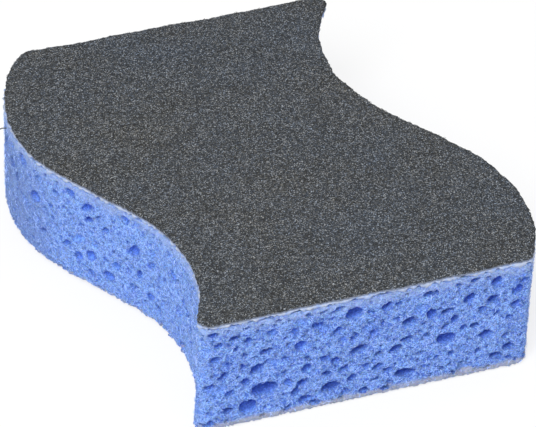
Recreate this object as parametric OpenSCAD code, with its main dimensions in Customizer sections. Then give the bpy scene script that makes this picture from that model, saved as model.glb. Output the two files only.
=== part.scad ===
// Wave-shaped scouring sponge: a block of cellulose foam with a thin
// abrasive non-woven sheet bonded over its whole upper face.
// Millimetres, +Z up. The sponge rests on Z = 0, the straight front end faces -Y,
// and the origin is the middle of the footprint.

/* [Overall] */
// Length between the two straight ends
pad_l = 114; // [90:1:136]
// Width straight across, from one wavy side to the other
pad_w = 76; // [60:1:110]

/* [Layers] */
// Thickness of the cellulose sponge
sponge_t = 25.4; // [12:0.2:40]
// Thickness of the adhesive film between sponge and scouring sheet
adhesive_t = 0.8; // [0.3:0.1:2]
// Thickness of the abrasive non-woven sheet
scouring_t = 1; // [0.5:0.1:6]

/* [Wavy sides] */
// Radius of both bends in each side
bend_r = 44; // [38:1:60]
// Slant of the straight stretch between the bends, in degrees
slant = 30; // [15:1:35]
// Length of that straight stretch
straight_l = 22; // [0:1:26]
// How far the middle of the straight stretch sits behind the middle of the pad
wave_shift = -3; // [-6:1:6]

/* [Corners] */
// Radius of the two upright edges at the front end
front_corner_r = 2.5; // [1:0.5:8]
// Radius of the upright edge at the back end of the bulging side
back_bulge_corner_r = 5; // [1:0.5:8]
// Radius of the upright edge at the back end of the hollow side
back_hollow_corner_r = 2.5; // [1:0.5:8]

/* [Hidden] */
$fn = 180;

SPONGE_BLUE = "#6f90d6";
ADHESIVE_PALE = "#c9cbce";
SCOURING_GREY = "#54585d";

// Heights at which one layer ends and the next begins
adhesive_z = sponge_t;
scouring_z = adhesive_z + adhesive_t;

// Along the straight stretch, towards the back, and square to it, towards +X
along = [-sin(slant), cos(slant)];
across = [cos(slant), sin(slant)];

// Anything that has to reach past the outline reaches at least this far
reach = pad_l + pad_w;

// Each disc overlaps what it blends into by a hair, so that it crosses the edge
// cleanly and leaves no sliver where it would only touch
hair = 0.002;
side_r = bend_r + hair;

// A side's middle point, where its straight stretch crosses the nominal width
function crossing(x) = [x, wave_shift];
// Centre of the bend behind the straight stretch, on its +X side
function back_centre(x) = crossing(x) + straight_l / 2 * along + bend_r * across;
// Centre of the bend in front of it, on its -X side
function front_centre(x) = crossing(x) - straight_l / 2 * along - bend_r * across;

// Everything on the +X side of the wavy line that crosses at x.
// The line runs round the back disc, down the tangent that both discs share,
// and round the front disc.
module beyond_wave(x) {
    back = back_centre(x);
    front = front_centre(x);
    difference() {
        union() {
            polygon([
                back,
                back - bend_r * across,
                front + bend_r * across,
                front,
                [front.x, -reach],
                [reach, -reach],
                [reach, reach],
                [back.x, reach]
            ]);
            translate(back) circle(side_r);
        }
        translate(front) circle(side_r);
    }
}

// The scrap that comes off when a corner is rounded by a disc of radius r.
// The disc touches the straight end towards end_dir and the side towards side_dir.
module corner_scrap(centre, r, end_dir, side_dir) {
    sharp_corner = r * (end_dir + side_dir) / (1 + end_dir * side_dir);
    translate(centre) difference() {
        polygon([[0, 0], 2 * r * end_dir, 2 * sharp_corner, 2 * r * side_dir]);
        circle(r + hair);
    }
}

// A corner where the pad lies inside the bend's disc, on a bulging side.
// end_sign is 1 at the back end and -1 at the front, x_sign the half of the disc.
module bulging_corner(bend_centre, r, end_sign, x_sign) {
    spread = side_r - r;
    dy = end_sign * (pad_l / 2 - r) - bend_centre.y;
    to_corner = [x_sign * sqrt(pow(spread, 2) - pow(dy, 2)), dy];
    corner_scrap(bend_centre + to_corner, r, [0, end_sign], to_corner / spread);
}

// A corner where the pad lies outside the bend's disc, on a hollow side
module hollow_corner(bend_centre, r, end_sign, x_sign) {
    spread = side_r + r;
    dy = end_sign * (pad_l / 2 - r) - bend_centre.y;
    to_corner = [x_sign * sqrt(pow(spread, 2) - pow(dy, 2)), dy];
    corner_scrap(bend_centre + to_corner, r, [0, end_sign], -to_corner / spread);
}

// Seen from above: a strip between two equal wavy sides, cut off square at both
// ends. Equal sides let the pads nest, so a sheet is die-cut without waste.
module pad_outline() {
    left = -pad_w / 2;
    right = pad_w / 2;
    difference() {
        intersection() {
            difference() {
                beyond_wave(left);
                beyond_wave(right);
            }
            square([2 * reach, pad_l], center = true);
        }
        hollow_corner(front_centre(left), front_corner_r, -1, 1);
        bulging_corner(front_centre(right), front_corner_r, -1, 1);
        bulging_corner(back_centre(left), back_bulge_corner_r, 1, -1);
        hollow_corner(back_centre(right), back_hollow_corner_r, 1, -1);
    }
}

module sponge_block() {
    color(SPONGE_BLUE) linear_extrude(sponge_t) pad_outline();
}

module adhesive_layer() {
    color(ADHESIVE_PALE)
        translate([0, 0, adhesive_z]) linear_extrude(adhesive_t) pad_outline();
}

module scouring_layer() {
    color(SCOURING_GREY)
        translate([0, 0, scouring_z]) linear_extrude(scouring_t) pad_outline();
}

sponge_block();
adhesive_layer();
scouring_layer();
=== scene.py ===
"""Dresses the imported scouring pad: porous sponge, set adhesive and gritty scouring sheet."""

import math
from random import Random

import bmesh
import bpy
from mathutils import Matrix, Vector, geometry, noise
from mathutils.bvhtree import BVHTree
from mathutils.kdtree import KDTree


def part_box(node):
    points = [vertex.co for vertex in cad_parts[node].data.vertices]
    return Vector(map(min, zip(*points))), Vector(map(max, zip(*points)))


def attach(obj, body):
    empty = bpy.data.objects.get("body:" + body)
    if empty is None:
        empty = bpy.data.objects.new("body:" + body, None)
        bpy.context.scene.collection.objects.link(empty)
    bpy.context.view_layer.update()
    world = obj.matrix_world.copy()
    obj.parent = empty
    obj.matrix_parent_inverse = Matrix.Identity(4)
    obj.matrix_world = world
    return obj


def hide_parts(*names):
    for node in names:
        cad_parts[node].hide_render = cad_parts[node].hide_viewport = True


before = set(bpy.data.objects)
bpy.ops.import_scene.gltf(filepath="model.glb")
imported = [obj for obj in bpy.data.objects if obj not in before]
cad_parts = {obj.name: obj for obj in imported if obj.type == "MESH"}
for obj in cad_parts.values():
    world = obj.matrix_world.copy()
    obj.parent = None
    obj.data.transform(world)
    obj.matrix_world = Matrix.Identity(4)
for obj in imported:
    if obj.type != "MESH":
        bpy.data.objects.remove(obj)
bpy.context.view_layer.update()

bl_info = {
    "name": "Scouring Pad",
    "version": (1, 0, 0),
    "blender": (4, 5, 0),
    "location": "View3D > Sidebar > Scouring Pad",
    "description": "Models the foam, adhesive and abrasive sheet of a wave-shaped scouring pad",
    "category": "Add Mesh",
}

MM = 0.001

# How the foam's walls stand: drawn in by a share of the width and leaned to -X at the
# foot, spread at the foot of the front end, drawn in under the sheet near the back end
FOOT_TAPER = 0.01
FOOT_LEAN = 1.5 * MM
FRONT_SPREAD = 1.5 * MM
FRONT_LEFT_SPREAD = 0.9 * MM
FRONT_REACH = 15 * MM
BACK_DRAW = 1.5 * MM
BACK_REACH = 38 * MM
SIDE_REACH = 24 * MM

# The stage: a floor that is partly white of itself, an even room and one large lamp.
# Lengths are in metres and the lamp's power is in watts.
FLOOR_HALF = 3.0
FLOOR_DROP = 0.2 * MM
FLOOR_GLOW = 0.75
ROOM_LIGHT = 0.62
KEY_PLACE = (-0.55, -0.73, 1.1)
KEY_SIZE = 0.8
KEY_POWER = 17.3


# ---------------------------------------------------------------- node trees

def arithmetic(operation):
    """Two methods that add a Math node: one for the operator, one for its reflection."""
    def method(self, other):
        return self.nodes.math(operation, self, other)

    def reflected(self, other):
        return self.nodes.math(operation, other, self)

    return method, reflected


class Value:
    """An output socket that takes arithmetic. Each operator adds a Math node."""

    def __init__(self, nodes, socket):
        self.nodes = nodes
        self.socket = socket

    __add__, __radd__ = arithmetic("ADD")
    __sub__, __rsub__ = arithmetic("SUBTRACT")
    __mul__, __rmul__ = arithmetic("MULTIPLY")
    __truediv__, __rtruediv__ = arithmetic("DIVIDE")
    __pow__, __rpow__ = arithmetic("POWER")
    __gt__, __lt__ = (arithmetic(sign)[0] for sign in ("GREATER_THAN", "LESS_THAN"))


class Nodes:
    """Adds nodes to one tree, for shaders and for geometry alike."""

    def __init__(self, tree):
        self.tree = tree

    def add(self, kind, settings=None, **values):
        """Adds a node, applies its settings, then fills its sockets.

        A socket is named in lower case with underscores; a trailing number picks
        the second or third socket of one name. Returns the node.
        """
        node = self.tree.nodes.new(kind)
        for name, setting in (settings or {}).items():
            setattr(node, name, setting)
        self.fill_all(node, **values)
        return node

    def fill_all(self, node, **values):
        """Fills a node's sockets by name."""
        for name, value in values.items():
            self.fill(self.find(node.inputs, name), value)

    @staticmethod
    def find(sockets, name):
        number = int(name[-1]) if name[-1].isdigit() else 0
        plain = name.rstrip("0123456789_").replace("_", " ")
        same = [s for s in sockets if s.enabled and s.name.lower() == plain]
        return same[number]

    def fill(self, socket, value):
        if isinstance(value, Value):
            self.tree.links.new(value.socket, socket)
        else:
            socket.default_value = value

    def out(self, node, name=None):
        """The node's output socket of that name, or its first live one."""
        live = [s for s in node.outputs if s.enabled]
        return Value(self, live[0] if name is None else self.find(live, name))

    def math(self, operation, *values, clamp=False):
        """A Math node on one, two or three values."""
        node = self.add("ShaderNodeMath", {"operation": operation, "use_clamp": clamp},
                        **{f"value{index}": value for index, value in enumerate(values)})
        return self.out(node)

    def vector(self, operation, *vectors, **scale):
        """A Vector Math node. A result that is one number comes back as a number."""
        node = self.add("ShaderNodeVectorMath", {"operation": operation},
                        **{f"vector{index}": value for index, value in enumerate(vectors)},
                        **scale)
        return self.out(node)

    def parts(self, vector):
        """The three numbers in a vector or a colour."""
        node = self.add("ShaderNodeSeparateXYZ", vector=vector)
        return [self.out(node, axis) for axis in "xyz"]

    def ramp(self, value, low, high, to_low=0.0, to_high=1.0):
        """Smoothly takes value from low..high to to_low..to_high."""
        node = self.add("ShaderNodeMapRange", {"interpolation_type": "SMOOTHSTEP"},
                        value=value, from_min=low, from_max=high,
                        to_min=to_low, to_max=to_high)
        return self.out(node)

    def mix_colour(self, factor, a, b, blend="MIX"):
        node = self.add("ShaderNodeMix", {"data_type": "RGBA", "blend_type": blend},
                        factor=factor, a=a, b=b)
        return self.out(node)

    def noise(self, vector, scale, detail=2.0, roughness=0.5):
        node = self.add("ShaderNodeTexNoise", vector=vector, scale=scale,
                        detail=detail, roughness=roughness)
        return self.out(node, "fac")

    def cells(self, vector, scale, randomness=1.0):
        """Voronoi cells: the distance to each cell's point and a random colour."""
        node = self.add("ShaderNodeTexVoronoi", vector=vector, scale=scale,
                        randomness=randomness)
        return self.out(node, "distance"), self.out(node, "color")

    def millimetres(self):
        """A shader's object coordinates in millimetres."""
        place = self.out(self.add("ShaderNodeTexCoord"), "object")
        return self.vector("SCALE", place, scale=1.0 / MM)

    def bump(self, strength, distance, height):
        """A normal that follows a height, for a shader."""
        return self.out(self.add("ShaderNodeBump", strength=strength, distance=distance,
                                 height=height))

    def attribute(self, name):
        """A number kept on the mesh, for a shader."""
        return self.out(self.add("ShaderNodeAttribute", {"attribute_name": name}), "fac")


class GeometryTree(Nodes):
    """A Geometry Nodes group with named inputs, made for one modifier."""

    def __init__(self, name):
        super().__init__(bpy.data.node_groups.new(name, "GeometryNodeTree"))
        self.tree.interface.new_socket("Geometry", in_out="INPUT",
                                       socket_type="NodeSocketGeometry")
        self.tree.interface.new_socket("Geometry", in_out="OUTPUT",
                                       socket_type="NodeSocketGeometry")
        self.inputs = self.tree.nodes.new("NodeGroupInput")
        self.geometry = Value(self, self.inputs.outputs["Geometry"])

    def named(self, name, kind):
        """The field kept under a name."""
        return self.out(self.add("GeometryNodeInputNamedAttribute", {"data_type": kind},
                                 name=name))

    def store(self, geometry, name, value, kind):
        """Keeps a field under a name on the points of a geometry."""
        return self.out(self.add("GeometryNodeStoreNamedAttribute", {"data_type": kind},
                                 geometry=geometry, name=name, value=value))

    def random(self, low, high, seed):
        return self.out(self.add("FunctionNodeRandomValue", min=low, max=high, seed=seed))

    def input(self, name, default, kind="Float"):
        """Adds a named input with its default and returns its value."""
        item = self.tree.interface.new_socket(name, in_out="INPUT",
                                              socket_type="NodeSocket" + kind)
        if default is not None:
            item.default_value = default
        return Value(self, self.inputs.outputs[name])

    def finish(self, geometry, material):
        """Ends the tree in Realize Instances and Set Material."""
        real = self.out(self.add("GeometryNodeRealizeInstances", geometry=geometry))
        dressed = self.out(self.add("GeometryNodeSetMaterial", geometry=real,
                                    material=material))
        end = self.tree.nodes.new("NodeGroupOutput")
        self.fill(end.inputs["Geometry"], dressed)

    def run(self, piece, **values):
        """Runs the tree on a piece with these inputs and keeps the plain mesh."""
        modifier = piece.modifiers.new(self.tree.name, "NODES")
        modifier.node_group = self.tree
        for item in self.tree.interface.items_tree:
            key = item.name.lower().replace(" ", "_")
            if item.in_out == "INPUT" and key in values:
                modifier[item.identifier] = values[key]
        bake_modifiers(piece)


# ---------------------------------------------------------------- mesh helpers

def bake_modifiers(piece):
    """Turns a piece's modifiers into its plain mesh."""
    graph = bpy.context.evaluated_depsgraph_get()
    mesh = bpy.data.meshes.new_from_object(piece.evaluated_get(graph))
    old = piece.data
    piece.modifiers.clear()
    piece.data = mesh
    mesh.name = piece.name
    bpy.data.meshes.remove(old)


def new_piece(name, mesh):
    piece = bpy.data.objects.new(name, mesh)
    bpy.context.scene.collection.objects.link(piece)
    return piece


def mesh_from(name, points, faces):
    mesh = bpy.data.meshes.new(name)
    mesh.from_pydata([tuple(p) for p in points], [], [tuple(f) for f in faces])
    mesh.validate()
    return mesh


def solid_copy(node):
    """A merged copy of a CAD node's loose triangles."""
    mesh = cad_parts[node].data.copy()
    shape = bmesh.new()
    shape.from_mesh(mesh)
    bmesh.ops.remove_doubles(shape, verts=shape.verts, dist=0.001 * MM)
    shape.to_mesh(mesh)
    shape.free()
    mesh.materials.clear()
    return mesh


def search_tree(mesh):
    """A tree that finds the nearest face of a mesh."""
    return BVHTree.FromPolygons([v.co for v in mesh.vertices],
                                [f.vertices for f in mesh.polygons])


def limited(share):
    """A share kept within 0 and 1."""
    return min(1.0, max(0.0, share))


def smooth(piece):
    for face in piece.data.polygons:
        face.use_smooth = True


def settle(piece, node):
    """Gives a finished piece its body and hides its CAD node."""
    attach(piece, "root")
    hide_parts(node)


# ---------------------------------------------------------------- sizes

def colour_property(name, description, red, green, blue):
    """A colour that the sidebar shows."""
    return bpy.props.FloatVectorProperty(
        name=name, description=description, subtype="COLOR", size=4,
        default=(red, green, blue, 1.0))


def number_property(name, description, default, low, high):
    """A plain number that the sidebar shows."""
    return bpy.props.FloatProperty(name=name, description=description, default=default,
                                   min=low, max=high)


class SpongeSizes(bpy.types.PropertyGroup):
    """The foam: how finely it is modelled and how its pores are spread."""

    voxel: number_property(
        "Voxel", "Grid step of the foam's volume, in millimetres", 0.32, 0.2, 1.0)
    triangles: bpy.props.IntProperty(
        name="Triangles", description="Most triangles that the finished foam may have",
        default=194000, min=20000, max=199000)
    seed: bpy.props.IntProperty(
        name="Seed", description="Moves the whole pattern of small pores", default=3)
    body_colour: colour_property(
        "Colour", "Blue of the dyed cellulose", 0.165, 0.32, 0.80)
    # Painted shade: the blue of a pore's shaded inside, of the fine pits and of the dark specks
    pore_shade_colour: colour_property(
        "Pore colour", "Blue deep in a pore", 0.045, 0.12, 0.62)
    # Pale cut walls between the cells, partly a painted highlight
    rib_highlight_colour: colour_property(
        "Rib colour", "Thin cut walls between the cells", 0.48, 0.64, 1.0)
    # Painted shade along the lower edge of the front end
    foot_shade_colour: colour_property(
        "Foot colour", "Greyed lower edge of the front end", 0.42, 0.45, 0.56)
    # Painted shade at the far end of the left side
    far_end_shade_colour: colour_property(
        "Dull colour", "Greyer foam at the far end of the left side", 0.14, 0.21, 0.46)
    rim_colour: colour_property(
        "Rim colour", "Paler foam under the scouring sheet", 0.36, 0.48, 0.80)


class SheetSizes(bpy.types.PropertyGroup):
    """The scouring sheet and the adhesive under it."""

    grain: number_property(
        "Grain", "Spacing of the sheet's modelled grit, in millimetres", 0.37, 0.3, 1.0)
    grit: number_property("Grit", "Height of the grit, in millimetres", 0.05, 0.0, 0.5)
    grit_colour: colour_property(
        "Grit colour", "Grey of the abrasive", 0.088, 0.094, 0.105)
    edge_colour: colour_property(
        "Edge colour", "Pale backing seen at the cut edge", 0.25, 0.29, 0.40)
    film_colour: colour_property(
        "Film colour", "Set adhesive at the joint", 0.46, 0.51, 0.62)


class FibreSizes(bpy.types.PropertyGroup):
    """The short fibres that stand off the foam and the scouring sheet."""

    thickness: number_property(
        "Thickness", "Thickness of a fibre, in millimetres", 0.075, 0.02, 0.5)
    on_foam: number_property(
        "On foam", "Fibres on each square centimetre of the foam's sides",
        82.0, 0.0, 120.0)
    on_sheet: number_property(
        "On sheet", "Fibres on each square centimetre of the sheet", 70.0, 0.0, 120.0)
    foam_colour: colour_property(
        "Foam fibre colour", "Pale blue of the fibres on the foam", 0.42, 0.57, 0.95)
    sheet_colour: colour_property(
        "Sheet fibre colour", "Grey of the fibres on the sheet", 0.20, 0.21, 0.22)
    thread_colour: colour_property(
        "Thread colour", "Dark grey of the loose threads", 0.08, 0.08, 0.09)


class CameraSizes(bpy.types.PropertyGroup):
    """Where the camera stands."""

    azimuth: bpy.props.FloatProperty(
        name="Azimuth", description="Turn of the camera about the pad, from straight ahead",
        subtype="ANGLE", default=math.radians(-17.7))
    elevation: bpy.props.FloatProperty(
        name="Elevation", description="Height of the camera as an angle",
        subtype="ANGLE", default=math.radians(35.5))
    roll: bpy.props.FloatProperty(
        name="Roll", description="Turn of the camera about its own axis",
        subtype="ANGLE", default=math.radians(-0.95))
    distance: bpy.props.FloatProperty(
        name="Distance", description="From the camera to the point it looks at",
        subtype="DISTANCE", default=0.869)
    lens: bpy.props.FloatProperty(
        name="Lens", description="Focal length in millimetres on a 36 mm wide sensor",
        default=259.5, min=20.0, max=400.0)
    aim: bpy.props.FloatVectorProperty(
        name="Aim", description="Point that the camera looks at, in millimetres",
        default=(1.58, -1.73, 11.3))


# ---------------------------------------------------------------- sponge

# Scattered pores, one row for each kind: spacing, widest and narrowest mouth in
# millimetres; shares of the front, the back, -X, +X and the underside; the seed's
# offset; depth as a share of half the width and, on top of that, in millimetres
SCATTERED_PORES = (
    (7.0, 4.8, 2.5, (0.0, 1.0, 0.0, 0.3, 0.3), 10, 0.8, 0.6),
    (2.7, 2.9, 1.2, (1.0, 1.0, 0.25, 0.35, 0.35), 20, 0.9, 0.5),
    (1.7, 1.2, 0.65, (1.0, 1.0, 0.7, 0.6, 0.5), 30, 1.1, 0.3),
    (5.2, 4.4, 2.4, (1.0, 1.0, 0.4, 0.4, 0.4), 40, 0.1, 0.4),
)
# Depth of a placed pore, in the same two parts
PLACED_DEPTH = (0.9, 0.9)
PORE_LAYERS = 3
# Room round the block in its volume, and how far one seed moves the pattern
FOAM_MARGIN = 1.0
PATTERN_STEP = 31.0
# Deepest pore on the two ends, and how much less that is on the wavy sides
DEEPEST_PORE = 3.6
WAVY_LESS = 1.8


class FoamTree(GeometryTree):
    """Turns a closed block into foam: a volume with open pores cut into its faces.

    Pores of three sizes and shallow dents are scattered over the faces, and large pores
    stand at given places. The two straight ends are the most open, the wavy sides and
    the underside less so. Depths are in millimetres.
    """

    def __init__(self, material):
        super().__init__("Foam")
        voxel = self.input("Voxel", 0.3 * MM)
        low = self.input("Low Corner", (0, 0, 0), "Vector")
        high = self.input("High Corner", (0, 0, 0), "Vector")
        shift = self.input("Pattern Shift", (0, 0, 0), "Vector")
        placed = self.input("Placed Pores", None, "Object")
        margin = self.input("Margin", 1.0)
        self.seed = self.input("Seed", 0, "Int")
        self.place = self.out(self.add("GeometryNodeInputPosition"))
        self.normal = self.out(self.add("GeometryNodeInputNormal"), "normal")
        self.mm = self.vector("ADD", self.vector("SCALE", self.place, scale=1.0 / MM), shift)
        self.probe = self.wobbled_place()
        self.placed = self.out(self.add("GeometryNodeObjectInfo", object=placed), "geometry")

        self.measure_block(low, high, margin)
        solid = self.roughened(self.block_depth(), self.pore_walls())
        foam = self.meshed(solid, voxel, low, high)
        self.finish(self.largest_island(foam), material)

    def wobbled_place(self):
        """The place, moved a little so that the pores aren't true ellipsoids."""
        noise_node = self.add("ShaderNodeTexNoise", vector=self.mm, scale=0.7, detail=3.0,
                              roughness=0.6)
        wobble = self.vector("SUBTRACT", self.out(noise_node, "color"), (0.5, 0.5, 0.5))
        return self.vector("ADD", self.place, self.vector("SCALE", wobble, scale=1.1 * MM))

    def measure_block(self, low, high, margin):
        """Depths under the wall, the underside and the top, and if the wall is a wavy one.

        The wall's depth is taken at mid height, where no level face is nearer.
        """
        x, y, z = self.parts(self.place)
        low_z = self.parts(low)[2]
        high_z = self.parts(high)[2]
        level_place = self.out(self.add("ShaderNodeCombineXYZ", x=x, y=y,
                                        z=(low_z + high_z) * 0.5))
        near = self.add("GeometryNodeProximity", {"target_element": "FACES"},
                        geometry=self.geometry, sample_position=level_place)
        face_normal = self.out(self.add("GeometryNodeFieldOnDomain",
                                        {"data_type": "FLOAT_VECTOR", "domain": "FACE"},
                                        value=self.normal))
        outward = self.out(self.add("GeometryNodeSampleNearestSurface",
                                    {"data_type": "FLOAT_VECTOR"}, mesh=self.geometry,
                                    value=face_normal, sample_position=level_place))
        away = self.vector("SUBTRACT", level_place, self.out(near, "position"))
        side = self.math("SIGN", self.vector("DOT_PRODUCT", away, outward))
        self.wall_depth = self.out(near, "distance") * side * (-1.0 / MM)
        self.floor_depth = (z - low_z) * (1.0 / MM) - margin
        self.top_depth = (high_z - z) * (1.0 / MM) - margin
        endward = self.math("ABSOLUTE", self.parts(outward)[1])
        self.wavy_side = 1.0 - self.ramp(endward, 0.90, 0.97)

    def block_depth(self):
        """Depth into the block, whose foot is rounded, most of all on the wavy sides."""
        along = self.parts(self.place)[1] * (1.0 / MM)
        rounding = (3.4 * self.wavy_side * self.ramp(along, -45.0, -10.0)
                    * self.ramp(along, 35.0, 54.0, 1.0, 0.0))
        foot = self.math("SMOOTH_MIN", self.wall_depth, self.floor_depth, 1.2 + rounding)
        return self.math("MINIMUM", foot, self.top_depth)

    def at_nearest(self, points, position):
        """A function that reads a field at the point that is nearest to the position."""
        nearest = self.out(self.add("GeometryNodeSampleNearest", geometry=points,
                                    sample_position=position))

        def read(field, kind="FLOAT"):
            return self.out(self.add("GeometryNodeSampleIndex", {"data_type": kind},
                                     geometry=points, value=field, index=nearest))

        return read

    def pore_wall(self, points, depth_share, depth_more):
        """Distance into the foam from the wall of the nearest of these pores."""
        read = self.at_nearest(points, self.probe)
        facing = read(self.named("facing", "FLOAT_VECTOR"), "FLOAT_VECTOR")
        half_width = read(self.named("width", "FLOAT")) * 0.53
        flatness = read(self.named("flatness", "FLOAT"))
        slope = read(self.named("slope", "FLOAT"))
        offset = self.vector("SUBTRACT", self.probe, read(self.place, "FLOAT_VECTOR"))
        offset = self.vector("SCALE", offset, scale=1.0 / MM)
        inward = self.vector("DOT_PRODUCT", offset, facing)
        across = self.vector("SUBTRACT", offset, self.vector("SCALE", facing, scale=inward))
        across_x, across_y, across_z = self.parts(across)
        tilted = across_z - slope * (across_x - 2.0 * across_y)
        lengthways = across_x * across_x + across_y * across_y
        sunk = inward / (half_width * depth_share + depth_more) + 0.4
        mouth = (lengthways + (tilted / flatness) ** 2.0) / half_width ** 2.0
        ratio = self.math("SQRT", mouth + sunk ** 2.0)
        return (ratio - 1.0) * half_width * flatness * 1.2

    def scattered(self, spacing, widest, narrowest, shares, offset):
        """Pores of one kind strewn over the faces, clear of the placed ones."""
        normal_x, normal_y, normal_z = self.parts(self.normal)
        share = 0.0
        for mask, part in zip((normal_y < -0.95, normal_y > 0.95, normal_x < -0.3,
                               normal_x > 0.3, normal_z < -0.9), shares):
            share = mask * part + share
        strewn = self.add("GeometryNodeDistributePointsOnFaces",
                          {"distribute_method": "POISSON"}, mesh=self.geometry,
                          distance_min=spacing * MM, density_max=4.0 / (spacing * MM) ** 2,
                          density_factor=share, seed=self.seed + offset)
        pick = self.random(0.0, 1.0, offset) ** 1.6
        points = self.store(self.out(strewn, "points"), "facing",
                            self.out(strewn, "normal"), "FLOAT_VECTOR")
        for name, value in (("width", narrowest + (widest - narrowest) * pick),
                            ("flatness", self.random(0.5, 0.85, offset + 1)),
                            ("slope", self.random(-0.15, 0.25, offset + 2))):
            points = self.store(points, name, value, "FLOAT")

        width = self.named("width", "FLOAT")
        read = self.at_nearest(self.placed, self.place)
        centre = read(self.place, "FLOAT_VECTOR")
        gap = self.vector("LENGTH", self.vector("SUBTRACT", self.place, centre)) * (1.0 / MM)
        clash = gap < 0.5 * (read(width) + width) + 0.2
        return self.out(self.add("GeometryNodeDeleteGeometry", {"domain": "POINT"},
                                 geometry=points, selection=clash))

    def pore_walls(self):
        """Distance into the foam from the wall of the nearest pore of any kind."""
        walls = [self.pore_wall(self.scattered(*spread), depth_share, depth_more)
                 for *spread, depth_share, depth_more in SCATTERED_PORES]
        for layer in range(PORE_LAYERS):
            in_layer = self.math("COMPARE", self.named("layer", "FLOAT"), float(layer))
            kept = self.out(self.add("GeometryNodeSeparateGeometry", geometry=self.placed,
                                     selection=in_layer))
            walls.append(self.pore_wall(kept, *PLACED_DEPTH))
        wall = walls[0]
        for other in walls[1:]:
            wall = self.math("SMOOTH_MIN", wall, other, 0.06)
        return wall

    def roughened(self, depth, wall):
        """Distance into the foam, rough, with pores that stop short of the edges."""
        deepest = DEEPEST_PORE - WAVY_LESS * self.wavy_side
        wall = self.math("SMOOTH_MAX", wall, depth - deepest, 0.5)
        off_foot = self.math("MAXIMUM", self.floor_depth, self.wall_depth - 2.0)
        off_edges = self.math("MINIMUM", self.top_depth, off_foot)
        wall = wall + 2.0 * self.ramp(off_edges, 0.2, 1.2, 1.0, 0.0)
        rough = (self.noise(self.mm, 1.9, 3.0, 0.75) - 0.5) * (0.75 - 0.2 * self.wavy_side)
        rough = rough * self.ramp(self.top_depth, 0.0, 1.0, 0.4, 1.0)
        rough = rough * self.ramp(self.floor_depth, 0.5, 4.0, 1.9, 1.0)
        torn = (self.noise(self.mm, 0.8, 2.0, 0.7) - 0.5) * self.wavy_side
        rough = rough + torn * self.ramp(self.floor_depth, 0.5, 4.0, 1.5, 0.0)
        return self.math("MINIMUM", depth + rough, wall + rough * 0.6)

    def meshed(self, solid, voxel, low, high):
        """The surface where a density, one half at the foam's surface, passes one half."""
        density = self.math("ADD", solid / (voxel * (2.0 / MM)), 0.5, clamp=True)
        span = self.vector("SUBTRACT", high, low)
        steps = self.parts(self.vector("SCALE", span, scale=1.0 / voxel))
        volume = self.out(self.add("GeometryNodeVolumeCube", density=density, min=low,
                                   max=high, resolution_x=steps[0],
                                   resolution_y=steps[1], resolution_z=steps[2]))
        return self.out(self.add("GeometryNodeVolumeToMesh", volume=volume, threshold=0.5))

    def largest_island(self, foam):
        """The foam without its crumbs and sealed bubbles, which are islands of their own."""
        island = self.out(self.add("GeometryNodeInputMeshIsland"), "island index")
        points = self.out(self.add("GeometryNodeAccumulateField", {"data_type": "INT"},
                                   value=1, group_id=island), "total")
        largest = self.out(self.add("GeometryNodeAttributeStatistic", geometry=foam,
                                    attribute=points), "max")
        return self.out(self.add("GeometryNodeDeleteGeometry", {"domain": "POINT"},
                                 geometry=foam, selection=points < largest - 0.5))


# Fine cells of the foam's face: size as a texture scale, share of the cells that are
# open, and how strongly their ribs and pits show
FOAM_CELLS = ((0.75, 0.45, 0.7, 0.7), (1.5, 0.55, 0.9, 0.7), (2.9, 0.6, 0.8, 0.6))


def cell_masks(n, mm):
    """Masks of the fine cells' ribs and pits."""
    swirl = n.add("ShaderNodeTexNoise", vector=mm, scale=0.9, detail=2.0)
    warp = n.vector("SUBTRACT", n.out(swirl, "color"), (0.5, 0.5, 0.5))
    warped = n.vector("ADD", mm, n.vector("SCALE", warp, scale=1.2))
    place = n.vector("MULTIPLY", warped, (1.0, 1.0, 1.4))
    ribs, pits = 0.0, 0.0
    for scale, open_share, rib_share, pit_share in FOAM_CELLS:
        _, cell_colour = n.cells(place, scale)
        edge = n.out(n.add("ShaderNodeTexVoronoi", {"feature": "DISTANCE_TO_EDGE"},
                           vector=place, scale=scale))
        is_open = n.ramp(n.parts(cell_colour)[0], 1.0 - open_share, 1.05 - open_share)
        rib = n.ramp(edge, 0.03, 0.14, 1.0, 0.0)
        pit = n.ramp(edge, 0.10, 0.32) * is_open
        ribs = n.math("MAXIMUM", ribs, rib_share * rib)
        pits = n.math("MAXIMUM", pits, pit_share * pit)
    return ribs, pits


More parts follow.
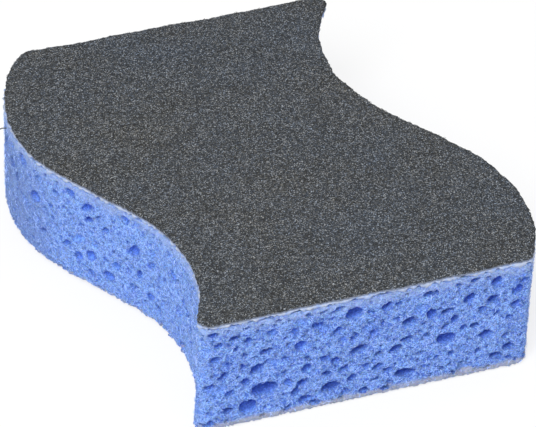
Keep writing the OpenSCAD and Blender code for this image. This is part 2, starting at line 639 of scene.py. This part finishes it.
def foam_material(sizes):
    """Matt blue cellulose: pale ribs round fine cells, partly a painted highlight, and painted
    shade as a deeper blue inside the pores and pits.
    """
    material, n, surface = new_material("blue_foam")
    mm = n.millimetres()
    depth = n.attribute("depth")
    wavy = n.attribute("wavy")
    _, frontward, upward = n.parts(n.out(n.add("ShaderNodeNewGeometry"), "normal"))
    rib, pit = cell_masks(n, mm)
    cloud = n.noise(mm, 0.22, 3.0, 0.6)
    grain = n.noise(mm, 5.0, 2.0, 0.7)
    mote, chance, _ = n.parts(n.cells(mm, 4.0)[1])

    # The body, with painted shade: deeper blue in pores, pits and dark specks, less where a
    # pore's floor faces up
    inside = n.ramp(depth, 0.25, 1.1)
    deep = (n.ramp(depth, 0.2, 1.9, 0.0, 0.97) * (1.0 - 0.3 * wavy)
            * (1.0 - 0.4 * n.ramp(upward, 0.0, 0.7)))
    shade = n.math("MAXIMUM", deep, pit * (1.0 - 0.8 * inside), clamp=True)
    # Random tone of the foam, with the wavy sides painted a little lighter
    light = 0.46 + 0.95 * mote ** 1.5 + 0.4 * mote * grain + 0.3 * cloud + 0.06 * wavy
    body = n.vector("SCALE", sizes.body_colour[:3], scale=light)
    tone = n.mix_colour(shade, body, sizes.pore_shade_colour)
    # Pale ribs: the cut walls, partly a painted highlight on their edges
    rib_share = rib * n.ramp(grain, 0.35, 0.7) * (1.0 - 0.85 * inside) * (1.0 - 0.7 * pit)
    tone = n.mix_colour(0.8 * rib_share, tone, sizes.rib_highlight_colour)
    # Dark specks of tiny pores, painted shade in the pore blue
    speck = n.ramp(chance, 0.80, 0.90) * (1.0 - inside)
    tone = n.mix_colour((0.7 - 0.25 * wavy) * speck, tone, sizes.pore_shade_colour)

    # Painted shade at the grey foot of the front end and at the far end of the left side, and
    # the pale band under the sheet
    level = n.parts(mm)[2]
    # Painted shade: the lowest millimetre or two of the front end greyed
    foot = (n.ramp(level - 1.2 * (cloud - 0.5) - 0.5 * grain, 0.8, 1.8, 0.9, 0.0)
            * n.ramp(frontward, -0.7, -0.3, 1.0, 0.0))
    tone = n.mix_colour(foot, tone, sizes.foot_shade_colour)
    # Painted shade: the far end of the left side, turned away from the lamp, greyed
    far_end_shade = n.ramp(n.parts(mm)[0] + 2.0 * (cloud - 0.5), -50.0, -43.0, 0.5, 0.0)
    tone = n.mix_colour(far_end_shade, tone, sizes.far_end_shade_colour)
    rim = n.ramp(level + 2.0 * (cloud - 0.5) + 2.5 * (grain - 0.5), 22.2, 24.8, 0.0, 0.7)
    tone = n.mix_colour(rim * (1.0 - inside) * (1.0 - 0.5 * pit), tone, sizes.rim_colour)

    height = (0.3 * grain + 0.5 * rib - pit) * (1.0 - 0.8 * inside)
    n.fill_all(surface, base_color=tone, roughness=0.9, subsurface_weight=0.35,
               subsurface_radius=(0.25, 0.5, 1.6), subsurface_scale=0.5 * MM,
               normal=n.bump(0.9, 0.35 * MM, height))
    return material


def new_material(name):
    """A material with one Principled surface. Returns it, its nodes and the surface."""
    material = bpy.data.materials.new(name)
    material.use_nodes = True
    surface = material.node_tree.nodes["Principled BSDF"]
    surface.inputs["Specular IOR Level"].default_value = 0.25
    return material, Nodes(material.node_tree), surface


def thin_out(piece, most):
    """Collapses a piece's flattest edges until it has at most so many triangles."""
    count = sum(len(face.vertices) - 2 for face in piece.data.polygons)
    if count > most:
        shrink = piece.modifiers.new("Thin Out", "DECIMATE")
        shrink.ratio = most / count
        bake_modifiers(piece)


def drop_folds(piece):
    """Deletes pairs of triangles that lie on each other, left where an edge collapsed."""
    shape = bmesh.new()
    shape.from_mesh(piece.data)
    bmesh.ops.triangulate(shape, faces=list(shape.faces))
    seen, folded = {}, set()
    for face in shape.faces:
        corners = frozenset(face.verts)
        if corners in seen:
            folded.update((face, seen[corners]))
        seen[corners] = face
    bmesh.ops.delete(shape, geom=list(folded), context="FACES")
    shape.to_mesh(piece.data)
    shape.free()


def store_depth(piece, block):
    """Keeps each point's depth under the block in millimetres, and if a wavy side is near."""
    tree = search_tree(block)
    depths, wavy = [], []
    for vertex in piece.data.vertices:
        place, normal, _, distance = tree.find_nearest(vertex.co)
        inside = (vertex.co - place).dot(normal) < 0
        depths.append(distance / MM if inside else 0.0)
        wavy.append(limited((0.99 - abs(normal.y)) / 0.09))
    for name, values in (("depth", depths), ("wavy", wavy)):
        kept = piece.data.attributes.new(name, "FLOAT", "POINT")
        kept.data.foreach_set("value", values)


# The largest pores of the front end: middle in X and Z, width and height of the mouth
FRONT_PORES = (
    (-16.5, 7.5, 6.0, 3.5), (-20.0, 4.0, 4.0, 3.5), (-1.5, 4.5, 4.5, 2.5),
    (15.5, 4.0, 5.0, 2.2), (24.5, 10.5, 4.5, 3.0), (3.0, 22.0, 4.0, 3.0),
    (4.5, 12.5, 4.0, 2.0), (-18.5, 13.0, 3.0, 2.5), (16.0, 17.0, 3.5, 2.0),
    (21.0, 17.5, 2.5, 3.0), (24.5, 17.5, 3.0, 1.5), (20.5, 23.0, 4.0, 1.5),
    (34.0, 9.5, 3.5, 2.0), (35.0, 18.0, 3.0, 2.0), (35.5, 22.5, 2.5, 2.5),
    (29.5, 19.5, 2.5, 2.5), (13.0, 10.5, 3.0, 2.0), (15.5, 12.5, 3.0, 1.5),
    (9.0, 7.0, 2.5, 1.5), (36.5, 3.5, 3.5, 1.5), (31.0, 12.3, 2.2, 1.4),
    (28.5, 12.3, 1.8, 1.4), (26.5, 15.0, 2.0, 2.0), (10.5, 22.0, 2.5, 2.0),
    (-8.0, 7.0, 3.0, 2.0), (-2.5, 8.0, 2.5, 1.5), (-23.5, 22.0, 2.5, 1.5),
    (-16.5, 17.0, 3.0, 1.5), (-9.5, 5.0, 2.0, 2.0), (-24.5, 4.0, 3.0, 1.5),
)
# Shallow dents of the wavy side at -X: place in Y and Z, width and height
SIDE_DENTS = (
    (15.5, 16.0, 4.0, 3.0), (4.5, 23.0, 3.0, 2.0), (0.0, 21.5, 3.5, 2.0),
    (-0.5, 18.5, 3.0, 1.5), (12.5, 8.5, 2.0, 1.5), (-10.0, 23.5, 2.5, 2.0),
    (5.5, 9.0, 2.5, 1.5), (-1.0, 9.0, 3.0, 3.0), (-12.5, 16.5, 3.5, 3.0),
    (-14.0, 11.0, 2.0, 2.5), (-8.0, 10.0, 2.5, 2.0), (-6.0, 6.0, 3.5, 2.5),
    (27.5, 18.0, 3.5, 2.5), (-17.5, 7.0, 2.5, 2.0), (21.0, 22.5, 4.0, 3.0),
    (8.5, 21.0, 2.0, 1.5), (-5.0, 18.0, 2.5, 1.5), (-1.5, 4.5, 2.5, 1.5),
    (-25.5, 17.5, 3.0, 2.5), (33.0, 8.0, 3.0, 2.0),
)


def placed_pores(block):
    """Points on the block's faces at the large pores, with facing, width and flatness.

    Each pore is put in the layer that is emptiest round it, so that two neighbours
    are whole when the layers are cut one after another.
    """
    tree = search_tree(block)
    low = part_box("sponge_block")[0]
    points, facings, widths, flatnesses, slopes, layers = [], [], [], [], [], []
    random = Random(4)

    def room_in(layer, place):
        """How far the nearest pore of a layer is."""
        return min(((place - other).length for other, kept in zip(points, layers)
                    if kept == layer), default=1.0)

    def add(start, direction, width, height):
        place, facing, _, _ = tree.ray_cast(start, direction)
        layers.append(max(range(PORE_LAYERS), key=lambda layer: room_in(layer, place)))
        points.append(place)
        facings.extend(facing)
        widths.append(width)
        flatnesses.append(height / width)
        slopes.append(random.uniform(-0.12, 0.24))

    for x, z, width, height in FRONT_PORES:
        add(Vector((x * MM, low.y - MM, z * MM)), Vector((0, 1, 0)), width, height)
    for y, z, width, height in SIDE_DENTS:
        add(Vector((low.x - MM, y * MM, z * MM)), Vector((1, 0, 0)), width, height)
    mesh = mesh_from("placed_pores", points, [])
    for name, kind, key, values in (("facing", "FLOAT_VECTOR", "vector", facings),
                                    ("width", "FLOAT", "value", widths),
                                    ("layer", "FLOAT", "value", layers),
                                    ("slope", "FLOAT", "value", slopes),
                                    ("flatness", "FLOAT", "value", flatnesses)):
        mesh.attributes.new(name, kind, "POINT").data.foreach_set(key, values)
    return new_piece("placed_pores", mesh)


class PAD_OT_sponge(bpy.types.Operator):
    """Model the porous sponge block"""

    bl_idname = "scouring_pad.sponge"
    bl_label = "Sponge Block"

    def execute(self, context):
        sizes = context.scene.pad_sponge
        block = solid_copy("sponge_block")
        low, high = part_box("sponge_block")
        room = Vector((FOAM_MARGIN, FOAM_MARGIN, FOAM_MARGIN)) * MM
        piece = new_piece("sponge_foam", block.copy())
        helper = placed_pores(block)
        FoamTree(foam_material(sizes)).run(
            piece, voxel=sizes.voxel * MM, low_corner=low - room, high_corner=high + room,
            pattern_shift=(PATTERN_STEP * sizes.seed, 0.0, 0.0), placed_pores=helper,
            margin=FOAM_MARGIN, seed=sizes.seed)
        bpy.data.objects.remove(helper)
        thin_out(piece, sizes.triangles)
        drop_folds(piece)
        store_depth(piece, block)
        settle_sides(piece, high.z)
        smooth(piece)
        settle(piece, "sponge_block")
        return {"FINISHED"}


def settle_sides(piece, top):
    """Leans the walls to -X, draws them in a little and spreads the front foot.

    Near the back end the hollow side at +X shrinks in under the sheet.
    """
    front, back = (corner.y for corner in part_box("sponge_block"))
    for vertex in piece.data.vertices:
        place = vertex.co
        drop = (top - place.z) / top
        near_front = max(0.0, 1.0 - (place.y - front) / FRONT_REACH)
        near_back = max(0.0, 1.0 - (back - place.y) / BACK_REACH)
        to_right = limited(place.x / SIDE_REACH)
        to_left = limited(-place.x / SIDE_REACH)
        place.x -= (place.x * FOOT_TAPER * drop + FOOT_LEAN * drop
                    + BACK_DRAW * to_right * near_back ** 0.5 * min(1.0, 8.0 * drop)
                    + FRONT_LEFT_SPREAD * to_left * near_front * drop ** 3)
        place.y -= FRONT_SPREAD * near_front * drop ** 2
        place.z = max(place.z, 0.0)


# ---------------------------------------------------------------- sheet and adhesive

def outline_of(node, step):
    """The node's plan outline as points about step apart, anticlockwise from above."""
    mesh = solid_copy(node)
    shape = bmesh.new()
    shape.from_mesh(mesh)
    level = [f for f in shape.faces if f.normal.z > 0.9]
    rim = {}
    for face in level:
        for loop in face.loops:
            others = [f for f in loop.edge.link_faces if f is not face]
            if not any(f in level for f in others):
                after = loop.link_loop_next.vert
                rim[loop.vert.co.to_2d().freeze()] = after.co.to_2d().freeze()
    shape.free()
    bpy.data.meshes.remove(mesh)
    start = next(iter(rim))
    corners, at = [start], rim[start]
    while at != start:
        corners.append(at)
        at = rim[at]
    return spaced(corners, step)


def spaced(corners, step):
    """Points about step apart along a closed line of corners."""
    ends = corners[1:] + corners[:1]
    lengths = [(b - a).length for a, b in zip(corners, ends)]
    count = round(sum(lengths) / step)
    points, gone, side = [], 0.0, 0
    for index in range(count):
        wanted = sum(lengths) * index / count
        while gone + lengths[side] < wanted:
            gone += lengths[side]
            side += 1
        share = (wanted - gone) / lengths[side]
        points.append(corners[side].lerp(ends[side], share))
    return points


def outward_of(points):
    """Each point's unit direction out of the closed anticlockwise line."""
    result = []
    for before, after in zip(points[-1:] + points[:-1], points[1:] + points[:1]):
        along = (after - before).normalized()
        result.append(Vector((along.y, -along.x)))
    return result


def inside_points(outline, step, gap, random):
    """Jittered points inside the outline, at least gap from it."""
    tree = KDTree(len(outline))
    for index, point in enumerate(outline):
        tree.insert(point.to_3d(), index)
    tree.balance()
    outward = outward_of(outline)
    xs = [p.x for p in outline]
    ys = [p.y for p in outline]
    points = []
    row_step = step * math.sqrt(0.75)
    for row in range(int((max(ys) - min(ys)) / row_step)):
        for column in range(int((max(xs) - min(xs)) / step)):
            x = min(xs) + step * (column + 0.5 * (row % 2) + random.uniform(-0.3, 0.3))
            y = min(ys) + row_step * row + step * random.uniform(-0.3, 0.3)
            point = Vector((x, y))
            _, index, distance = tree.find(point.to_3d())
            if distance > gap and (point - outline[index]).dot(outward[index]) < 0:
                points.append(point)
    return points


def slab(name, outline, rings, inner):
    """A closed slab: rings of (height, set-out) from the bottom up, and a filled top.

    A ring's height and set-out are functions of the place along the outline.
    """
    count = len(outline)
    outward = outward_of(outline)
    points, faces = [], []
    for height, set_out in rings:
        for index in range(count):
            flat = outline[index] + outward[index] * set_out(index)
            points.append((flat.x, flat.y, height(index)))
    for ring in range(len(rings) - 1):
        for index in range(count):
            after = (index + 1) % count
            a, b = ring * count + index, ring * count + after
            faces.append((a, b, b + count, a + count))

    top_start = (len(rings) - 1) * count
    rim = [Vector(points[top_start + index][:2]) for index in range(count)]
    edges = [(index, (index + 1) % count) for index in range(count)]
    flat, _, triangles, origin, _, _ = geometry.delaunay_2d_cdt(
        rim + inner, edges, [], 1, 1e-7)
    extra = len(flat) - count - len(inner)
    if extra:
        raise RuntimeError(f"{name}: its top has {extra} extra points")
    place = [top_start + sources[0] for sources in origin]
    top_height = max(rings[-1][0](index) for index in range(count))
    points.extend((p.x, p.y, top_height) for p in inner)
    faces.extend(tuple(place[corner] for corner in face) for face in triangles)
    faces.append(tuple(reversed(range(count))))
    return mesh_from(name, points, faces)


def steady(value):
    """A ring's height or set-out that is the same all round."""
    return lambda index: value


def wavy(middle, reach, wave, outline, offset):
    """A ring's height or set-out that wanders round the outline about its middle."""
    def at(index):
        spot = outline[index] / wave
        return middle + reach * noise.fractal(Vector((spot.x, spot.y, offset)), 0.6, 2.0, 3)
    return at


def joined(*parts):
    """A ring's height or set-out that is the sum of others."""
    return lambda index: sum(part(index) for part in parts)


def halfway(lower, upper):
    """A ring's height halfway between two others."""
    return lambda index: 0.5 * (lower(index) + upper(index))


def grit_tree(material):
    """Raises grit on the level face of a sheet and roughens its cut edge."""
    t = GeometryTree("Grit")
    height = t.input("Height", 0.15 * MM)
    place = t.out(t.add("GeometryNodeInputPosition"))
    normal = t.out(t.add("GeometryNodeInputNormal"), "normal")
    mm = t.vector("SCALE", place, scale=1.0 / MM)
    near, colour = t.cells(mm, 1.9)
    grain = t.parts(colour)[1] * t.ramp(near, 0.1, 0.6, 1.0, 0.0)
    fine = t.noise(mm, 2.6, 2.0, 0.7) - 0.5
    broad = t.noise(mm, 0.12, 2.0, 0.5) - 0.5
    level = t.ramp(t.parts(normal)[2], 0.3, 0.8)
    above = t.parts(normal)[2] > -0.5
    raised = (grain * 0.5 + fine * 1.0 + broad * 0.8) * height * above * (0.6 + 0.4 * level)
    offset = t.vector("SCALE", normal, scale=raised)
    moved = t.out(t.add("GeometryNodeSetPosition", geometry=t.geometry, offset=offset))
    t.finish(moved, material)
    return t


def grit_material(sizes, top):
    """Dark abrasive with fine bright and dark grains, painted glints, and the pale backing at
    its edge.
    """
    material, n, surface = new_material("grey_grit")
    mm = n.millimetres()
    _, speckle = n.cells(mm, 4.4)
    pick, pick_b, tint = n.parts(speckle)
    gap, coarse = n.cells(n.vector("MULTIPLY", mm, (1.0, 0.8, 1.0)), 2.7, 0.75)
    lump = n.parts(coarse)[0]
    grain = n.ramp(gap, 0.15, 0.6, 1.5, 0.25)
    fuzz = n.noise(mm, 3.2, 3.0, 0.75)
    cloud = n.noise(mm, 0.07, 3.0, 0.6)

    tone = (0.17 + (1.2 * pick ** 2.0 + 2.4 * pick ** 6.0 + 0.2 * lump) * grain
            + 0.2 * (cloud - 0.5))
    dark = n.vector("SCALE", sizes.grit_colour[:3], scale=tone)
    tint = n.math("ADD", tint, 1.4 * (n.noise(mm, 0.035, 3.0, 0.6) - 0.5), clamp=True)
    tinted = n.mix_colour(tint, (1.10, 1.01, 0.84, 1.0), (0.88, 1.02, 1.20, 1.0))
    dark = n.mix_colour(1.0, dark, tinted, "MULTIPLY")
    # Painted glints: sparse pale grey flecks for light caught by the fibres
    painted_glint = n.ramp(pick_b, 0.955, 0.97)
    flecked = n.mix_colour(painted_glint * 0.6, dark, (0.42, 0.44, 0.46, 1.0))
    blue_hint = n.mix_colour(n.ramp(n.noise(mm, 1.1, 2.0, 0.6), 0.5, 0.75) * 0.25, flecked,
                             (0.075, 0.105, 0.16, 1.0))
    warm_hint = n.mix_colour(n.ramp(n.noise(mm, 1.5, 2.0, 0.6), 0.55, 0.8) * 0.25, blue_hint,
                             (0.14, 0.13, 0.08, 1.0))

    height = n.parts(mm)[2]
    edge_line = top / MM - 0.6 + 0.6 * (fuzz - 0.5)
    backing = n.ramp(height - edge_line, -0.25, 0.15, 1.0, 0.0)
    n.fill_all(surface, base_color=n.mix_colour(backing, warm_hint, sizes.edge_colour),
               roughness=0.8, normal=n.bump(0.7, 0.15 * MM, 0.2 * fuzz + pick))
    return material


class PAD_OT_scouring(bpy.types.Operator):
    """Model the gritty scouring sheet"""

    bl_idname = "scouring_pad.scouring"
    bl_label = "Scouring Sheet"

    def execute(self, context):
        sizes = context.scene.pad_sheet
        low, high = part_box("scouring_layer")
        step = sizes.grain * MM
        outline = outline_of("scouring_layer", step)
        edge = joined(wavy(0.0, 0.22 * MM, 1.0 * MM, outline, 3.0),
                      wavy(0.0, 0.45 * MM, 11.0 * MM, outline, 21.0))
        rings = (
            (steady(low.z), joined(edge, steady(-0.05 * MM))),
            (steady(low.z + 0.4 * MM), edge),
            (wavy(high.z - 0.3 * MM, 0.25 * MM, 1.0 * MM, outline, 7.0), edge),
            (steady(high.z - 0.06 * MM), joined(edge, steady(-0.22 * MM))),
        )
        inner = inside_points(outline, step, 0.75 * MM, Random(5))
        mesh = slab("scouring_sheet", outline, rings, inner)
        piece = new_piece("scouring_sheet", mesh)
        grit_tree(grit_material(sizes, high.z)).run(piece, height=sizes.grit * MM)
        smooth(piece)
        settle(piece, "scouring_layer")
        return {"FINISHED"}


def film_material(sizes):
    """Set adhesive: pale, slightly bluish and uneven."""
    material, n, surface = new_material("pale_adhesive")
    mm = n.millimetres()
    blotch = n.noise(mm, 0.9, 3.0, 0.7)
    grain = n.noise(mm, 4.0, 2.0, 0.7)
    stained = n.mix_colour(n.ramp(blotch, 0.35, 0.7), sizes.film_colour,
                           (0.24, 0.36, 0.68, 1.0))
    greyed = n.mix_colour(n.ramp(grain, 0.5, 0.8) * 0.5, stained, (0.50, 0.54, 0.64, 1.0))
    n.fill_all(surface, base_color=greyed, roughness=0.6,
               normal=n.bump(0.6, 0.2 * MM, grain + blotch))
    return material


class PAD_OT_adhesive(bpy.types.Operator):
    """Model the set adhesive between the sheet and the sponge"""

    bl_idname = "scouring_pad.adhesive"
    bl_label = "Adhesive Film"

    def execute(self, context):
        sizes = context.scene.pad_sheet
        low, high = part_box("adhesive_layer")
        outline = outline_of("adhesive_layer", 0.5 * MM)
        edge = wavy(0.0, 0.5 * MM, 1.1 * MM, outline, 11.0)
        foot = wavy(low.z + 0.1 * MM, 0.9 * MM, 1.8 * MM, outline, 17.0)
        rings = (
            (joined(foot, steady(-0.1 * MM)), joined(edge, steady(-0.5 * MM))),
            (foot, joined(edge, steady(-0.12 * MM))),
            (halfway(foot, steady(high.z)), edge),
            (steady(high.z), joined(edge, steady(-0.05 * MM))),
        )
        inner = inside_points(outline, 4.0 * MM, 3.0 * MM, Random(9))
        piece = new_piece("adhesive_film", slab("adhesive_film", outline, rings, inner))
        piece.data.materials.append(film_material(sizes))
        smooth(piece)
        settle(piece, "adhesive_layer")
        return {"FINISHED"}


# ---------------------------------------------------------------- fibres

def fibre_tree(material):
    """Strews short bent fibres over a mesh, flat on its faces and turned at random."""
    t = GeometryTree("Fibres")
    thickness = t.input("Thickness", 0.1 * MM)
    length = t.input("Length", 1.0 * MM)
    density = t.input("Density", 1.0)
    level = t.input("Level Faces", 0.0)
    seed = t.input("Seed", 0, "Int")

    # Level Faces is 1 for a sheet seen from above and 0 for standing walls
    normal = t.out(t.add("GeometryNodeInputNormal"), "normal")
    upward = t.parts(normal)[2]
    standing = t.ramp(t.math("ABSOLUTE", upward), 0.75, 0.9, 1.0, 0.0)
    depth = t.named("depth", "FLOAT")
    height = t.parts(t.out(t.add("GeometryNodeInputPosition")))[2] * (1.0 / MM)
    crowd = t.ramp(height, 1.0, 3.0, 2.5, 1.0) * (height > 0.8)
    share = (level * (upward > -0.3)
             + (1.0 - level) * standing * crowd * t.ramp(depth, 0.3, 0.9, 1.0, 0.0))
    strewn = t.add("GeometryNodeDistributePointsOnFaces", {"distribute_method": "RANDOM"},
                   mesh=t.geometry, density=density * share, seed=seed)

    bend = t.add("GeometryNodeCurveQuadraticBezier", resolution=3,
                 start=(-0.5, 0, 0), middle=(0.05, 0.22, 0.3), end=(0.5, 0, 0.02))
    profile = t.add("GeometryNodeCurvePrimitiveCircle", resolution=3,
                    radius=thickness / (2.0 * length))
    fibre = t.out(t.add("GeometryNodeCurveToMesh", {}, curve=t.out(bend),
                        profile_curve=t.out(profile), fill_caps=True))

    turn = t.add("FunctionNodeRandomValue", {"data_type": "FLOAT_VECTOR"},
                 min=(-0.3, -0.3, 0.0), max=(0.3, 0.3, math.tau), seed=seed + 1)
    rotation = t.out(t.add("FunctionNodeRotateRotation", {"rotation_space": "LOCAL"},
                           rotation=t.out(strewn, "rotation"),
                           rotate_by=t.out(t.add("FunctionNodeEulerToRotation",
                                                 euler=t.out(turn)))))
    laid = t.out(t.add("GeometryNodeInstanceOnPoints", points=t.out(strewn, "points"),
                       instance=fibre, rotation=rotation,
                       scale=length * t.random(0.5, 1.3, seed + 2)))
    t.finish(laid, material)
    return t


# Fibre pieces: name, piece they lie on and slot, names of their colour and their count
# among the sizes, share of level faces, length in millimetres and seed
FIBRES = (
    ("foam_fibres", "sponge_foam", "sponge", "foam_colour", "on_foam", 0.0, 1.0, 11),
    ("sheet_fibres", "scouring_sheet", "scouring", "sheet_colour", "on_sheet", 1.0, 0.8, 21),
)
# Square centimetres in a square metre
CENTIMETRES = 10000.0
# Loose threads at the left wall and at the back corner: points along each one, in
# millimetres
THREAD_THICKNESS = 0.28 * MM
THREADS = (
    ((-48.9, 33.4, 23.4), (-50.2, 33.3, 23.7), (-51.0, 32.9, 23.8), (-52.0, 32.8, 23.5)),
    ((32.0, 51.9, 26.3), (32.8, 52.2, 27.6), (33.3, 52.7, 28.0), (33.6, 53.0, 28.6)),
)


def thread_mesh(name, thickness):
    """The loose threads as round closed tubes."""
    curve = bpy.data.curves.new(name, "CURVE")
    curve.dimensions = "3D"
    curve.bevel_depth = thickness / 2.0
    curve.bevel_resolution = 2
    curve.use_fill_caps = True
    for places in THREADS:
        line = curve.splines.new("POLY")
        line.points.add(len(places) - 1)
        for point, place in zip(line.points, places):
            point.co = (*(Vector(place) * MM), 1.0)
    holder = new_piece(name, curve)
    graph = bpy.context.evaluated_depsgraph_get()
    mesh = bpy.data.meshes.new_from_object(holder.evaluated_get(graph))
    bpy.data.objects.remove(holder)
    return mesh


def fibre_material(name, colour):
    """Plain fibres that vary a little in tone from place to place."""
    material, n, surface = new_material(name)
    mm = n.millimetres()
    _, cell = n.cells(mm, 0.8)
    tone = n.vector("SCALE", colour[:3], scale=0.45 + 1.1 * n.parts(cell)[0])
    n.fill_all(surface, base_color=tone, roughness=0.7)
    return material


class PAD_OT_fibres(bpy.types.Operator):
    """Strew loose fibres over the foam and the scouring sheet"""

    bl_idname = "scouring_pad.fibres"
    bl_label = "Fibres"

    def execute(self, context):
        sizes = context.scene.pad_fibres
        for name, host, slot, colour, count, level, length, seed in FIBRES:
            piece = new_piece(name, bpy.data.objects[host].data.copy())
            tree = fibre_tree(fibre_material(name, getattr(sizes, colour)))
            tree.run(piece, thickness=sizes.thickness * MM, length=length * MM,
                     density=getattr(sizes, count) * CENTIMETRES, level_faces=level,
                     seed=seed)
            smooth(piece)
            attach(piece, "root")
        piece = new_piece("loose_threads", thread_mesh("loose_threads", THREAD_THICKNESS))
        piece.data.materials.append(fibre_material("dark_thread", sizes.thread_colour))
        smooth(piece)
        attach(piece, "root")
        return {"FINISHED"}


# ---------------------------------------------------------------- stage

def box_light(name, place, aim, size, power):
    """A square area lamp at place that shines at aim."""
    lamp = bpy.data.lights.new(name, "AREA")
    lamp.shape = "SQUARE"
    lamp.size = size
    lamp.energy = power
    holder = bpy.data.objects.new(name, lamp)
    holder.location = place
    holder.rotation_euler = (Vector(aim) - Vector(place)).to_track_quat("-Z", "Y").to_euler()
    bpy.context.scene.collection.objects.link(holder)


class PAD_OT_stage(bpy.types.Operator):
    """Set the pale floor, the soft lamps and the camera"""

    bl_idname = "scouring_pad.stage"
    bl_label = "Stage"

    def execute(self, context):
        scene = context.scene
        scene.view_settings.view_transform = "Standard"
        self.floor()
        self.lamps(scene)
        self.camera(scene)
        return {"FINISHED"}

    def floor(self):
        corners = [(x * FLOOR_HALF, y * FLOOR_HALF, 0)
                   for x, y in ((-1, -1), (1, -1), (1, 1), (-1, 1))]
        floor = new_piece("floor", mesh_from("floor", corners, [(0, 1, 2, 3)]))
        floor.location.z = -FLOOR_DROP
        material = bpy.data.materials.new("white_floor")
        material.use_nodes = True
        n = Nodes(material.node_tree)
        n.tree.nodes.clear()
        diffuse = n.out(n.add("ShaderNodeBsdfDiffuse", color=(0.9, 0.9, 0.9, 1.0)))
        white = n.out(n.add("ShaderNodeEmission", color=(1, 1, 1, 1), strength=1.0))
        path = n.add("ShaderNodeLightPath")
        seen = n.math("ADD", n.out(path, "is camera ray"), n.out(path, "is glossy ray"))
        seen = n.math("ADD", seen, n.out(path, "is transmission ray"), clamp=True)
        mix = n.add("ShaderNodeMixShader", fac=seen * FLOOR_GLOW, shader0=diffuse,
                    shader1=white)
        end = n.tree.nodes.new("ShaderNodeOutputMaterial")
        n.fill(end.inputs["Surface"], n.out(mix))
        floor.data.materials.append(material)

    def lamps(self, scene):
        world = bpy.data.worlds.new("studio")
        world.use_nodes = True
        scene.world = world
        n = Nodes(world.node_tree)
        n.tree.nodes.clear()
        room = n.out(n.add("ShaderNodeBackground", color=(1, 1, 1, 1), strength=ROOM_LIGHT))
        white = n.out(n.add("ShaderNodeBackground", color=(1, 1, 1, 1), strength=1.0))
        path = n.add("ShaderNodeLightPath")
        mix = n.add("ShaderNodeMixShader", fac=n.out(path, "is camera ray"),
                    shader0=room, shader1=white)
        end = n.tree.nodes.new("ShaderNodeOutputWorld")
        n.fill(end.inputs["Surface"], n.out(mix))
        box_light("key_lamp", KEY_PLACE, (0, 0, 0), KEY_SIZE, KEY_POWER)

    def camera(self, scene):
        sizes = scene.pad_camera
        data = bpy.data.cameras.new("camera")
        data.sensor_width = 36.0
        data.lens = sizes.lens
        data.clip_start = 0.01
        holder = bpy.data.objects.new("camera", data)
        scene.collection.objects.link(holder)
        turn = (Matrix.Rotation(sizes.azimuth, 4, "Z")
                @ Matrix.Rotation(math.pi / 2 - sizes.elevation, 4, "X")
                @ Matrix.Rotation(sizes.roll, 4, "Z"))
        back = (turn @ Vector((0, 0, 1, 0))).to_3d()
        holder.matrix_world = (Matrix.Translation(Vector(sizes.aim) * MM
                                                  + back * sizes.distance) @ turn)
        scene.camera = holder


class PAD_PT_panel(bpy.types.Panel):
    """The sidebar's list of pieces and sizes"""

    bl_idname = "PAD_PT_panel"
    bl_label = "Scouring Pad"
    bl_space_type = "VIEW_3D"
    bl_region_type = "UI"
    bl_category = "Scouring Pad"

    def draw(self, context):
        for group in PROPERTIES:
            for name in PROPERTIES[group].__annotations__:
                self.layout.prop(getattr(context.scene, group), name)
        for operator in OPERATORS:
            self.layout.operator(operator.bl_idname)


PROPERTIES = {"pad_sponge": SpongeSizes, "pad_sheet": SheetSizes,
              "pad_fibres": FibreSizes, "pad_camera": CameraSizes}
OPERATORS = (PAD_OT_stage, PAD_OT_sponge, PAD_OT_adhesive, PAD_OT_scouring,
             PAD_OT_fibres)
CLASSES = (*PROPERTIES.values(), *OPERATORS, PAD_PT_panel)


def register():
    for one in CLASSES:
        bpy.utils.register_class(one)
    for name, group in PROPERTIES.items():
        setattr(bpy.types.Scene, name, bpy.props.PointerProperty(type=group))


def unregister():
    for name in PROPERTIES:
        delattr(bpy.types.Scene, name)
    for one in reversed(CLASSES):
        bpy.utils.unregister_class(one)


def main():
    register()
    bpy.ops.scouring_pad.stage()
    bpy.ops.scouring_pad.sponge()
    bpy.ops.scouring_pad.adhesive()
    bpy.ops.scouring_pad.scouring()
    bpy.ops.scouring_pad.fibres()
    bpy.context.view_layer.update()


if __name__ == "__main__":
    main()
